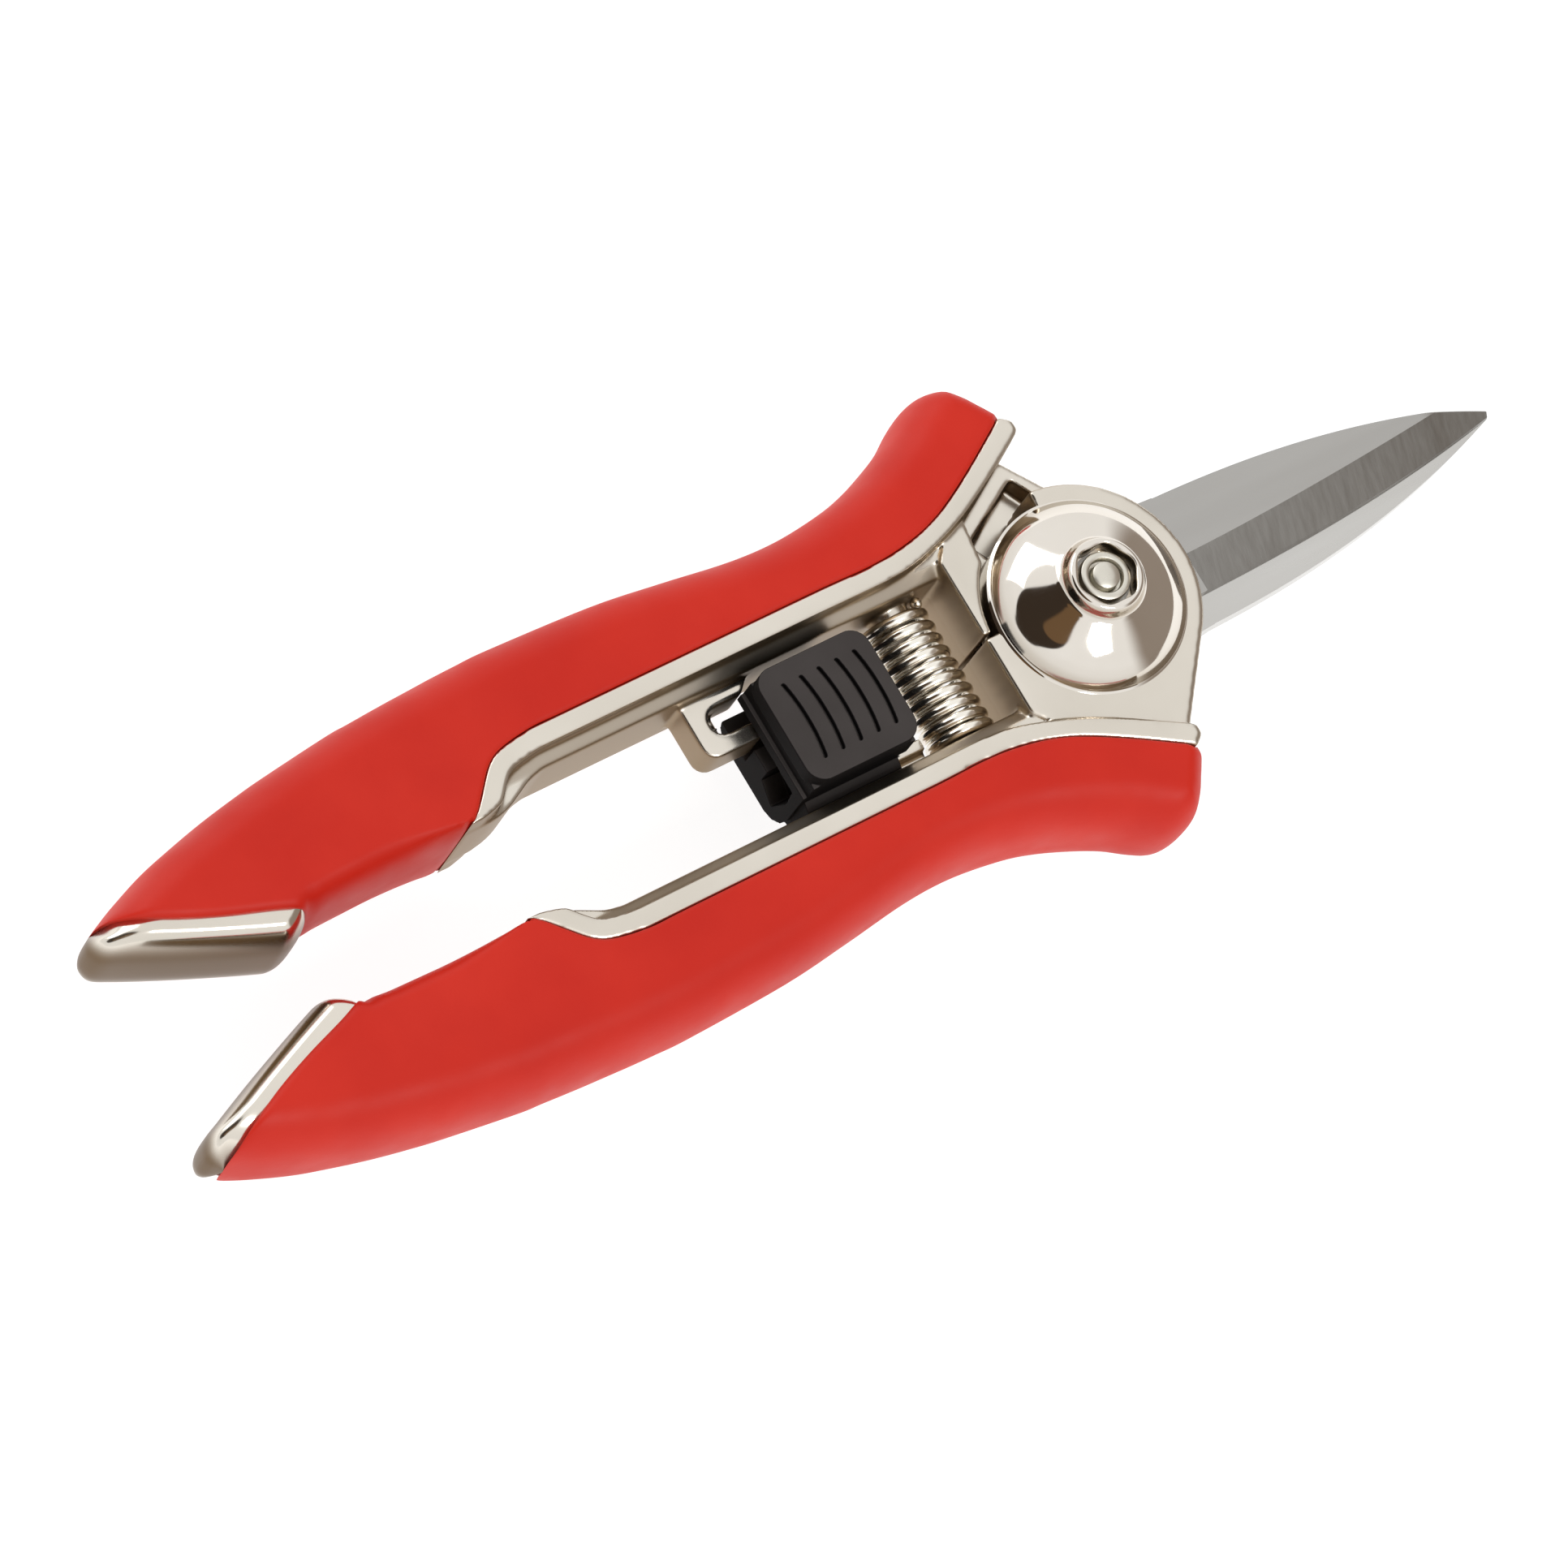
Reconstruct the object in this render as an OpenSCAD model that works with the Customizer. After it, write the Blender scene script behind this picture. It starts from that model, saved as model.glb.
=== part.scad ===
// Compact spring-loaded snips: two die-cast handles with soft grips, crossing at a domed pivot,
// each carrying one pointed blade. A coil spring pushes the handles apart and a thumb slider
// locks them shut. Millimetres. The pivot axis is Z, the blades point along +X, and Z = 0 is the
// flat under side of the pivot, on which the closed snips lie.

/* [Handles] */
// Thickness of a handle across its two polished rims
handle_t = 14.5; // [14:0.25:15.5]
// Distance from the line between the handles to each flat inner wall
wall_u = 8.0; // [7.9:0.05:8.2]
// Distance from the line between the handles to the inner edge of each rim
rim_in_u = 9.5; // [9.3:0.1:9.7]
// Distance from the line between the handles to the soft grip
rim_out_u = 11.8; // [11.6:0.1:12]
// How far the line between the handles lies to the side of the pivot
mid_y = 0.9; // [0.6:0.1:1.2]
// How far the soft grip stands proud of the rim
grip_proud = 0.3; // [0.1:0.1:0.5]
// Width of the split between the two handles' plates behind the pivot
split_gap = 0.3; // [0.2:0.05:0.5]

/* [Head] */
// Height of the pivot's flat collar above the rims
collar_rise = 5.3; // [4.8:0.1:5.8]
// Depth of the side plates below the rims
plate_drop = 1.0; // [0.8:0.1:1.4]
// Radius of the flange around the dome
flange_r = 12.7; // [12.5:0.1:12.9]
// Radius of the dome at its foot
dome_r = 10.5; // [10.2:0.1:10.8]
// Radius of the flat collar on the dome
collar_r = 4.05; // [3.9:0.05:4.2]
// Radius of the recess for the nut and the bolt head
recess_r = 3.2; // [3.15:0.05:3.3]
// Radius of the hollow edge of the short plates, which clears the dome
hollow_r = 11.6; // [11.3:0.1:11.9]
// Place of the end walls that face the spring
end_wall_x = -12.6; // [-12.8:0.1:-12.4]

/* [Blades] */
// Length of the blades in front of the pivot axis
blade_len = 55.4; // [50:0.2:60]
// Thickness of each blade
blade_t = 2.5; // [2:0.1:2.8]
// Half width of a blade where it leaves the head
blade_half_w = 7.2; // [6.8:0.1:7.4]
// Thickness left at the cutting edge
edge_t = 0.25; // [0.2:0.05:0.4]

/* [Pivot] */
// Radius of the bolt's smooth shank
shank_r = 2.6; // [2.5:0.05:2.65]
// Radial clearance between the shank and the bush that turns on it
running_gap = 0.05; // [0.03:0.01:0.08]
// Radius of the nut and of the bolt's head
nut_r = 2.75; // [2.7:0.05:2.8]
// Radius of the bolt's threaded end
thread_r = 1.5; // [1.4:0.05:1.6]
// Angle to which the handles open
open_angle = 24; // [20:1:24]

/* [Return spring] */
// Distance of the spring's axis behind the pivot
spring_x = -17.9; // [-18.2:0.1:-17.6]
// Outer diameter of the spring
spring_d = 7.8; // [7.4:0.1:7.9]
// Diameter of the spring wire
wire_d = 1.25; // [1:0.05:1.35]
// Number of turns
spring_turns = 10; // [8:1:10]

/* [Lock] */
// Rear end of the locking slider
slider_x0 = -38.8; // [-39:0.1:-38.6]
// Length of the slider's thumb plate
slider_len = 13.7; // [13.2:0.1:13.9]
// Half width of the thumb plate
slider_half_w = 6.6; // [6.3:0.1:6.8]
// How far the slider moves to unlock
slider_travel = 4.0; // [3:0.5:4]
// Number of thumb grooves
groove_count = 5; // [3:1:5]

/* [Hidden] */
$fn = 72;
mid_z = handle_t / 2 + collar_rise;          // plane in which the blades meet
half_t = handle_t / 2;
plate_h = half_t - plate_drop;               // top of a side plate above the mid plane
cheek_gap = 0.1;                             // from the mid plane to a handle's inner face
blade_gap = 0.02;                            // from the mid plane to a blade's flat side
ledge_h = half_t - 1.5;                      // height of the inner wall each side of the mid plane
ledge_fall = 1.5;                            // how far the ledge slopes down from the rim to the wall
rib_h = 4.6;                                 // half height of the rib inside the grip
cap_h = 6.6;                                 // half height of the metal handle end
recess_depth = 2.5;
washer_t = 0.4;
thread_top = 2 * mid_z - 0.2;
nut_top = 2 * mid_z - 0.5;
recess_floor = 2 * mid_z - recess_depth;
bush_r = 3.1;
tang_r = 8;
tang_fit = 0.05;
shim_r = 4.5;
shim_t = 0.28;
rivet_r = 1.25;
rivet_ring = 5.9;                            // distance of the blade rivets from the pivot
rivet_angles = [150, 225];
lug_ring = 11.8;                             // distance of the stop lug from the pivot
lug_r = 0.9;
lug_angle = 84;
stop_tilt = 29.2;                            // slant of the straight stop window
stop_s = [1.1, 10.2];                        // window ends, along its slant
stop_n = [8.6, 12.7];                        // window sides, across its slant
stop_depth = 2.7;

// Half outline, as [distance along X, distance from the line between the handles].
// Metal handle end: from the outer corner round the toe, along the sloping sole, to the heel
cap_sole = [[-111.3, 13.4], [-112.5, 12.6], [-112.8, 11.5], [-112, 10.1], [-109.5, 8.9], [-104, 6.5],
            [-97, 3.7], [-94.9, 3.1], [-93.2, 3.6], [-91.3, 5.0]];
// Line between the metal end and the grip
cap_seam = [[-111.3, 13.4], [-109, 12.1], [-105, 10], [-100, 8], [-95, 6.3], [-91.3, 5.0]];
// Rim's outer line: curls in behind the flat wall, and flares out beside the pivot
rim_tail = [[-72.8, 5.5], [-71.7, 6.4], [-70, 8.1], [-68, 10.2], [-66, 11.2], [-62, rim_out_u]];
rim_flare = [[-26, rim_out_u], [-20, rim_out_u - 0.1], [-15, 12.2], [-10, 13.7], [-5, 16.25], [1.5, 20.1]];
// Rim's inner line
lip_tail = [[-71.2, 5.5], [-68.6, 6.2], [-67.3, 7.6], [-65.6, 8.9], [-62, rim_in_u]];
lip_flare = [[-24, rim_in_u], [-19, rim_in_u], [-15, 9.95], [-10, 11.4], [-5, 13.6], [2.3, 17.7]];
rim_nose = [[2.75, 18.2], [2.6, 19.2]];
// Flat wall, from its rounded shoulder to the head
wall_tail = [[-72.8, 5.4], [-69.6, 5.45], [-67.2, 5.95], [-65.4, 6.75], [-63.6, 7.6], [-61.8, wall_u]];
wall_head = [[end_wall_x, wall_u], [-11.5, 9.4], [-8, 11.7], [-5, 13.3], [2.2, 17.5]];
// Outer side of the grip where it is widest, from its front end to the metal handle end
grip_back = [[2.9, 20.0], [2.8, 21.1], [2.2, 22.1], [1.5, 23.1], [0.4, 24.6], [-1.2, 26.1], [-3.1, 26.6],
             [-4.8, 26.35], [-6.6, 25.45], [-9, 23.9], [-12, 22.5], [-16, 21.0], [-20, 20.05],
             [-26, 19.4], [-32, 19.6], [-40, 20.65], [-48, 21.55], [-60, 22.05], [-70, 21.75],
             [-80, 21.1], [-88, 20.05], [-96, 18.6], [-104, 16.5], [-108, 14.95], [-111.3, 13.4]];
// Points that the rounded front end and the rounded toe draw in towards
front_core = [-3, 21.5];
toe_core = [-106, 11.5];
grip_wrap_u = 5.4;                           // where the grip covers the inner side too
// Rib that carries the grip
rib_plan = [[-106, 11.5], [-106, 8.2], [-98, 5.2], [-93, 6.2], [-90, 7.4], [-74, 7.4], [-66, 9.6],
            [-20, 9.6], [-8, 13.2], [-1, 17.4], [-1.5, 19.5], [-6, 21.6], [-12, 19.6], [-20, 16.6],
            [-30, 15.4], [-50, 17], [-65, 17.6], [-80, 17], [-95, 14.6]];
// Steps that round the grip and the metal end: [half height, how far the outline is drawn in]
grip_steps = [[half_t + grip_proud, 3.2], [half_t - 0.15, 2.2], [half_t - 0.85, 1.4], [half_t - 1.75, 0.8],
              [half_t - 2.95, 0.35], [half_t - 4.25, 0]];
cap_steps = [[cap_h, 1.6], [cap_h - 0.5, 0.8], [cap_h - 1.4, 0.25], [cap_h - 2.6, 0]];

// Blade, as [distance along X, spine, bevel line, cutting edge]
blade_stations = [for (t = [0, 0.15, 0.3, 0.45, 0.6, 0.72, 0.83, 0.92, 1])
    [14 + t * (blade_len - 14),
     blade_half_w * (1 - 0.12 * t - 0.83 * pow(t, 2.3)),
     min(0.3 + 2.6 * pow(t, 1.6), blade_half_w * (1 - 0.12 * t - 0.83 * pow(t, 2.3)) - 0.05),
     -4 + 0.9 * t + 2.75 * pow(t, 2.6)]];

// Smooth curve through points, n steps to each span
function mixed(a, b, c, d, t) = 0.5 * (2 * b + (c - a) * t + (2 * a - 5 * b + 4 * c - d) * t * t
    + (3 * b - a - 3 * c + d) * t * t * t);
function curve(p, n = 3) = concat(
    [for (i = [0:len(p) - 2]) for (k = [0:n - 1])
        mixed(p[max(i - 1, 0)], p[i], p[i + 1], p[min(i + 2, len(p) - 1)], k / n)],
    [p[len(p) - 1]]);
function reversed(p) = [for (i = [len(p) - 1:-1:0]) p[i]];
// From a half outline to the plan of the handle that lies on the -Y side
function placed(p) = [for (q = p) [q[0], mid_y - q[1]]];
function polar(r, a) = [r * cos(a), r * sin(a)];

// The other handle, or its blade, is this one turned half round a line along X
module turned_over(line_y) {
    translate([0, 2 * line_y, 2 * mid_z]) rotate([180, 0, 0]) children();
}

// A flat shape from z0 to z1, counted from the mid plane
module slab(z0, z1) {
    translate([0, 0, mid_z + z0]) linear_extrude(z1 - z0) children();
}

module rim_band() {
    outer = concat(curve(rim_tail), curve(rim_flare));
    slab(-half_t, half_t)
        polygon(placed(concat(outer, reversed(rim_nose), reversed(curve(lip_flare)),
                              reversed(curve(lip_tail)))));
    difference() {
        slab(-ledge_h, ledge_h)
            polygon(placed(concat(outer, reversed(rim_nose), reversed(curve(wall_head)),
                                  reversed(curve(wall_tail)))));
        // Ledges above and below the wall slope down to it
        for (s = [1, -1]) translate([-74, mid_y, mid_z]) rotate([90, 0, 90]) linear_extrude(74 + end_wall_x)
            polygon([[-5, s * (ledge_h - ledge_fall)], [-5, s * (ledge_h + 1)],
                     [-rim_in_u, s * (ledge_h + 1)], [-rim_in_u, s * ledge_h],
                     [0.2 - wall_u, s * (ledge_h - ledge_fall)]]);
    }
}

// Plan of the whole handle, drawn in by w where it is rounded
function drawn_in(p, w) =
    p[0] > front_core[0] ? p - 0.7 * w * (p - front_core) / norm(p - front_core) :
    p[0] < toe_core[0] ? p - w * (p - toe_core) / norm(p - toe_core) :
    p[1] > toe_core[1] ? p - [0, w] : p + [0, w / 2];
function handle_plan(w) = concat(
    [for (p = curve(grip_back)) drawn_in(p, w)],
    [for (i = [1:len(curve(cap_sole)) - 2]) drawn_in(curve(cap_sole)[i], w)],
    [for (x = [-91.3, -88, -76]) [x, grip_wrap_u + w / 2 - (x < -90 ? 0.4 : 0)]],
    curve(rim_tail), curve(rim_flare));
// Region on the toe's side of the seam, or on the grip's side
toe_side = concat([[-118, 17.4]], curve(cap_seam), [[-91.3, -2], [-118, -2]]);
grip_side = concat([[-118, 17.4]], curve(cap_seam), [[-91.3, -2], [8, -2], [8, 40], [-118, 40]]);

module handle_layers(steps, side) {
    for (s = steps) intersection() {
        slab(-s[0], s[0]) polygon(placed(handle_plan(s[1])));
        slab(-s[0] - 1, s[0] + 1) polygon(placed(side));
    }
}

// Rounded triangular plate that joins the rail to the pivot, on the blade's side of the mid plane
module cheek(pivot_y) {
    toe = [2.3, mid_y - 17.9 - pivot_y];
    tangent = atan2(toe[1], toe[0]) + acos(flange_r / norm(toe));
    sweep = [lug_angle + 4, tangent - 8];
    intersection() {
        slab(cheek_gap, plate_h) translate([0, pivot_y]) circle(flange_r);
        slab(cheek_gap, plate_h) translate([0, pivot_y])
            polygon([[0, 0], polar(20, sweep[0]), polar(24, 45), polar(24, 0), polar(20, sweep[1])]);
    }
    slab(cheek_gap, plate_h) polygon([
        [end_wall_x, mid_y - split_gap / 2], [0, mid_y - split_gap / 2], [0, pivot_y],
        [0, pivot_y] + polar(flange_r, tangent), [0, pivot_y] + toe,
        [-5, mid_y - 14.2], [-10, mid_y - 12], [end_wall_x, mid_y - 9]]);
    // Stop lug, which reaches into the other handle's window
    slab(0.5 - stop_depth, plate_h - 1) translate([0, pivot_y] + polar(lug_ring, lug_angle)) circle(lug_r);
}

// Short plate on the far side of the mid plane, hollowed out to clear the other handle's dome
module short_plate(pivot_y) {
    difference() {
        slab(-plate_h, -cheek_gap) polygon([
            [end_wall_x, mid_y - split_gap / 2], [-9, mid_y - split_gap / 2], [-8.2, mid_y - 8.2],
            [-7.6, mid_y - 12.4], [-10, mid_y - 12.2], [end_wall_x, mid_y - 9]]);
        slab(-plate_h - 1, 0) translate([0, pivot_y]) circle(hollow_r);
    }
}

// The round boss of the pivot, with the dome and its collar
module dome(pivot_y) {
    foot = cheek_gap;
    top = mid_z;
    collar_foot = [collar_r + 1, top - 1.8];
    shoulder = curve([[dome_r, plate_h + 0.2], [9.6, plate_h + 1.6], [8.0, plate_h + 3.0], collar_foot]);
    translate([0, pivot_y, mid_z]) rotate_extrude()
        polygon(concat([[0, foot], [dome_r, foot]], shoulder,
                       [[collar_r + 0.3, top - 1.3], [collar_r - 0.3, top - 0.2], [collar_r - 0.4, top],
                        [0, top]]));
}

module tang_plan(grow) {
    circle(tang_r + grow);
    polygon([[0, -tang_r - grow], [9, -4.6 - grow], [15, -4.1 - grow], [15, blade_half_w + grow],
             [8, blade_half_w + 0.4 + grow], [0, tang_r + grow]]);
}

// Casting of the handle that lies on the -Y side, whose blade is above the mid plane.
// bore_r is the pivot hole, and the recess takes the nut or the bolt head.
module casting(pivot_y, bore_r) {
    difference() {
        union() {
            rim_band();
            handle_layers(cap_steps, toe_side);
            slab(-rib_h, rib_h) polygon(placed(rib_plan));
            cheek(pivot_y);
            short_plate(pivot_y);
            dome(pivot_y);
            // Peg that centres the spring
            translate([spring_x, mid_y - wall_u - 1, mid_z]) rotate([-90, 0, 0]) cylinder(h = 4, r = 2.3);
        }
        translate([0, pivot_y, mid_z - half_t]) cylinder(h = 40, r = bore_r);
        translate([0, pivot_y, recess_floor]) cylinder(h = 10, r = recess_r);
        slab(-1, blade_gap + blade_t + tang_fit) translate([0, pivot_y]) tang_plan(tang_fit);
        for (a = rivet_angles) translate([0, pivot_y]) translate(polar(rivet_ring, a))
            slab(-1, blade_t + 2.5) circle(rivet_r);
        // Window for the other handle's stop lug
        translate([0, pivot_y]) rotate([0, 0, -stop_tilt])
            slab(-0.5, stop_depth) polygon([[stop_s[0], -stop_n[0]], [stop_s[1], -stop_n[0]],
                                          [stop_s[1], -stop_n[1]], [stop_s[0], -stop_n[1]]]);
    }
}

// Handle on the -Y side, with the rail that the lock slides on
rail_x = [-33.8, -23];
rail_neck = [7.0, 1.3];                      // start of the head, half height of the neck
rail_head = [5.6, 2.4];                      // end of the head, half height of the head
leaf_recess = [-33.4, -26.6];                // where the head is cut back for the detent leaf
module handle_b() {
    color("wheat") difference() {
        union() {
            casting(0, shank_r + 0.02);
            slab(-rail_neck[1], rail_neck[1])
                polygon(placed([[rail_x[0], wall_u + 1], [rail_x[0], rail_neck[0] - 0.5],
                                [rail_x[1], rail_neck[0] - 0.5], [rail_x[1], wall_u + 1]]));
            slab(-rail_head[1], rail_head[1])
                polygon(placed([[rail_x[0], rail_neck[0]], [rail_x[0], rail_head[0]],
                                [rail_x[1], rail_head[0]], [rail_x[1], rail_neck[0]]]));
        }
        // Recess that the detent leaf's bump rides in
        slab(-3, 3) polygon(placed([[leaf_recess[0], rail_head[0] + 0.5], [leaf_recess[0], rail_head[0] - 0.6],
                                    [leaf_recess[1], rail_head[0] - 0.6], [leaf_recess[1], rail_head[0] + 0.5]]));
    }
}

// Handle on the +Y side, with the hook that the lock catches
hook_x = [-44.7, -38.1];
hook_u = [1.6, 3.5, 6.55];                   // finger's lower side, upper side, and arm's lower side
hook_h = 2.4;
module handle_a() {
    corner = 1.6;
    color("wheat") turned_over(mid_y) union() {
        casting(2 * mid_y, bush_r);
        difference() {
            slab(-hook_h, hook_h) polygon(placed(concat(
                [[hook_x[0], wall_u + 1]],
                [for (a = [180:15:270]) [hook_x[0] + corner, hook_u[0] + corner] + polar(corner, a)],
                [[hook_x[1], hook_u[0]], [hook_x[1], hook_u[1]], [hook_x[1] + 0.4, hook_u[2]],
                 [hook_x[1] + 3, wall_u + 1]])));
            slab(-hook_h - 1, hook_h + 1) union() {
                translate([hook_x[0] + 3.7, mid_y - (hook_u[1] + hook_u[2]) / 2])
                    circle((hook_u[2] - hook_u[1]) / 2);
                polygon(placed([[hook_x[0] + 3.7, hook_u[1]], [hook_x[1] + 5, hook_u[1]],
                                [hook_x[1] + 5, hook_u[2]], [hook_x[0] + 3.7, hook_u[2]]]));
            }
        }
        // Web across the closed end of the hook's slot, with a ridge along it
        web_x = hook_x[0] + 2;
        slab(0.6, hook_h) polygon(placed([[web_x, hook_u[1] - 0.3], [web_x + 2, hook_u[1] - 0.3],
                                          [web_x + 2, hook_u[2] + 0.3], [web_x, hook_u[2] + 0.3]]));
        slab(-0.6, hook_h) polygon(placed([[web_x, hook_u[1] + 0.6], [web_x + 1.9, hook_u[1] + 1.3],
                                           [web_x, hook_u[1] + 2]]));
    }
}

// Soft grip on the -Y side, moulded round the rib
module grip() {
    difference() {
        handle_layers(grip_steps, grip_side);
        slab(-rib_h, rib_h) polygon(placed(rib_plan));
    }
}

module grip_b() {
    color("firebrick") grip();
}

module grip_a() {
    color("firebrick") turned_over(mid_y) grip();
}

// Blade above the mid plane, its edge towards -Y, flat below and bevelled on its upper face
module blade(bore_r, counterbore) {
    ring = 5;
    pts = [for (s = blade_stations)
        let (top = blade_t * min(1, 0.32 + 4 * (1 - (s[0] - 14) / (blade_len - 14)))) each [
            [s[0], s[3], blade_gap], [s[0], s[3], blade_gap + edge_t], [s[0], s[2], blade_gap + top],
            [s[0], s[1], blade_gap + top], [s[0], s[1], blade_gap]]];
    last = len(pts) - ring;
    sides = [for (i = [0:len(blade_stations) - 2]) for (k = [0:ring - 1])
        each [[i * ring + k, i * ring + (k + 1) % ring, (i + 1) * ring + (k + 1) % ring],
              [i * ring + k, (i + 1) * ring + (k + 1) % ring, (i + 1) * ring + k]]];
    difference() {
        union() {
            translate([0, 0, mid_z]) polyhedron(pts, concat(sides,
                [[for (k = [ring - 1:-1:0]) k]], [[for (k = [0:ring - 1]) last + k]]));
            slab(blade_gap, blade_gap + blade_t) tang_plan(0);
        }
        slab(-1, blade_t + 1) circle(bore_r);
        slab(-1, counterbore) circle(shim_r + 0.05);
        for (a = rivet_angles) translate(polar(rivet_ring, a)) slab(-1, blade_t + 1) circle(rivet_r);
    }
}

module blade_b() {
    color("gainsboro") blade(shank_r + 0.02, shim_t);
}

module blade_a() {
    color("silver") turned_over(0) blade(bush_r, -0.5);
}

// Two rivets hold each blade in its handle
module rivets() {
    for (a = rivet_angles) translate(polar(rivet_ring, a)) slab(blade_gap, blade_t + 2.4) circle(rivet_r);
}

module blade_rivets_b() {
    color("gray") rivets();
}

module blade_rivets_a() {
    color("gray") turned_over(0) rivets();
}

// Bolt with a smooth shank, its flat head in the lower recess
module pivot_bolt() {
    color("silver") union() {
        cylinder(h = recess_depth - washer_t, r = nut_r);
        cylinder(h = recess_floor - 0.1, r = shank_r);
        cylinder(h = thread_top, r = thread_r);
    }
}

module pivot_nut() {
    color("silver") translate([0, 0, recess_floor + washer_t]) difference() {
        cylinder(h = nut_top - recess_floor - washer_t, r = nut_r);
        translate([0, 0, -1]) cylinder(h = 10, r = thread_r);
    }
}

module nut_washer() {
    color("dimgray") translate([0, 0, recess_floor]) difference() {
        cylinder(h = washer_t, r = bush_r);
        translate([0, 0, -1]) cylinder(h = 3, r = thread_r + 0.05);
    }
}

module head_washer() {
    color("dimgray") translate([0, 0, recess_depth - washer_t]) difference() {
        cylinder(h = washer_t, r = bush_r);
        translate([0, 0, -1]) cylinder(h = 3, r = shank_r + 0.02);
    }
}

// Bush pressed into the lower handle and its blade, which turns on the shank
module pivot_bush() {
    color("goldenrod") translate([0, 0, recess_depth]) difference() {
        cylinder(h = mid_z - blade_gap - recess_depth, r = bush_r);
        translate([0, 0, -1]) cylinder(h = 30, r = shank_r + running_gap);
    }
}

// Thin washer between the blades, in a counterbore of the upper one
module blade_shim() {
    color("goldenrod") difference() {
        slab(-blade_gap, shim_t) circle(shim_r);
        slab(-1, 1) circle(shank_r + running_gap);
    }
}

// Compression spring between the two walls, its axis along Y
module return_spring() {
    sides = 8;
    steps = spring_turns * 18;
    coil_r = (spring_d - wire_d) / 2;
    reach = wall_u - wire_d / 2 - 0.05;
    pts = [for (i = [0:steps]) let (t = i / steps, a = 360 * spring_turns * t, c = polar(coil_r, a))
        for (k = [0:sides - 1]) let (w = polar(wire_d / 2, 360 * k / sides))
        [c[0] + w[0] * cos(a), mid_y - reach + 2 * reach * t + w[1], c[1] + w[0] * sin(a)]];
    skin = [for (i = [0:steps - 1]) for (k = [0:sides - 1])
        each [[i * sides + k, (i + 1) * sides + (k + 1) % sides, i * sides + (k + 1) % sides],
              [i * sides + k, (i + 1) * sides + k, (i + 1) * sides + (k + 1) % sides]]];
    color("gainsboro") translate([spring_x, 0, mid_z]) polyhedron(pts, concat(skin,
        [[for (k = [0:sides - 1]) k]], [[for (k = [sides - 1:-1:0]) steps * sides + k]]));
}

// Thumb slider: a grooved plate on a block that rides the T-shaped rail
slider_body_len = 12.2;
slider_body_h = 5.2;
slider_fit = 0.06;
leaf_pocket = [4.5, 5.8];                    // sides of the pocket for the detent leaf
leaf_x = -32;                                // middle of the detent leaf
module lock_slider() {
    x1 = slider_x0 + slider_len;
    channel_x = slider_x0 + 0.9;
    r = 1.8;
    corners = [[slider_x0 + r, r - slider_half_w, 180], [x1 - r, r - slider_half_w, 270],
               [x1 - r, slider_half_w - r, 0], [slider_x0 + r, slider_half_w - r, 90]];
    color("dimgray") difference() {
        union() {
            slab(half_t - 1.2, half_t + 1) translate([0, mid_y])
                polygon([for (c = corners) for (a = [0:15:90]) [c[0], c[1]] + polar(r, c[2] + a)]);
            // The block's underside is narrower than its upper part
            for (s = [[-slider_body_h, 6.0, 1.1], [1.2 - slider_body_h, 7.0, 0.6], [2.4 - slider_body_h, 7.7, 0.5]])
                slab(s[0], half_t - 1) polygon(placed([
                    [slider_x0, s[2] - slider_half_w], [slider_x0 + slider_body_len, s[2] - slider_half_w],
                    [slider_x0 + slider_body_len, s[1]], [slider_x0, s[1]]]));
        }
        // Grooves across the thumb plate
        for (i = [0:groove_count - 1]) translate([slider_x0 + 2.7 + 2.2 * i, mid_y])
            slab(half_t + 0.5, half_t + 2)
                polygon([[-0.15, -4.4], [0.15, -4.4], [0.15, 4.4], [-0.15, 4.4]]);
        // T-shaped channel for the rail
        slab(-rail_neck[1] - slider_fit, rail_neck[1] + slider_fit)
            polygon(placed([[channel_x, wall_u + 1], [channel_x, rail_neck[0] - 0.2],
                            [-20, rail_neck[0] - 0.2], [-20, wall_u + 1]]));
        slab(-rail_head[1] - slider_fit, rail_head[1] + slider_fit)
            polygon(placed([[channel_x, rail_neck[0] + slider_fit], [channel_x, rail_head[0] - slider_fit],
                            [-20, rail_head[0] - slider_fit], [-20, rail_neck[0] + slider_fit]]));
        // Mouth that the hook's finger enters
        slab(-hook_h - 0.4, hook_h + 0.4)
            polygon(placed([[slider_x0 - 1, -1.2], [slider_x0 + 3, -1.2], [slider_x0 + 3, -9],
                            [slider_x0 - 1, -9]]));
        // Pocket for the detent leaf
        slab(-1.6, 1.6) polygon(placed([[leaf_x - 4, leaf_pocket[1]], [leaf_x - 4, leaf_pocket[0]],
                                        [leaf_x + 4, leaf_pocket[0]], [leaf_x + 4, leaf_pocket[1]]]));
    }
}

// Bowed leaf that clicks the slider into its two places
module detent_leaf() {
    foot = leaf_pocket[0] + 0.1;
    bow = [for (q = [[-3.8, 0], [-2.2, 0.3], [0, 1.1], [2.2, 0.3], [3.8, 0]]) [leaf_x + q[0], foot + q[1]]];
    leaf_t = 0.25;
    color("silver") slab(-1.5, 1.5)
        polygon(placed(concat(curve(bow), [for (p = reversed(curve(bow))) [p[0], p[1] + leaf_t]])));
}

handle_a();
handle_b();
grip_a();
grip_b();
blade_a();
blade_b();
blade_rivets_a();
blade_rivets_b();
pivot_bolt();
pivot_nut();
nut_washer();
head_washer();
pivot_bush();
blade_shim();
return_spring();
lock_slider();
detent_leaf();
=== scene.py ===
import math

import bmesh
import bpy
import numpy as np
from mathutils import Matrix, Vector


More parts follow.
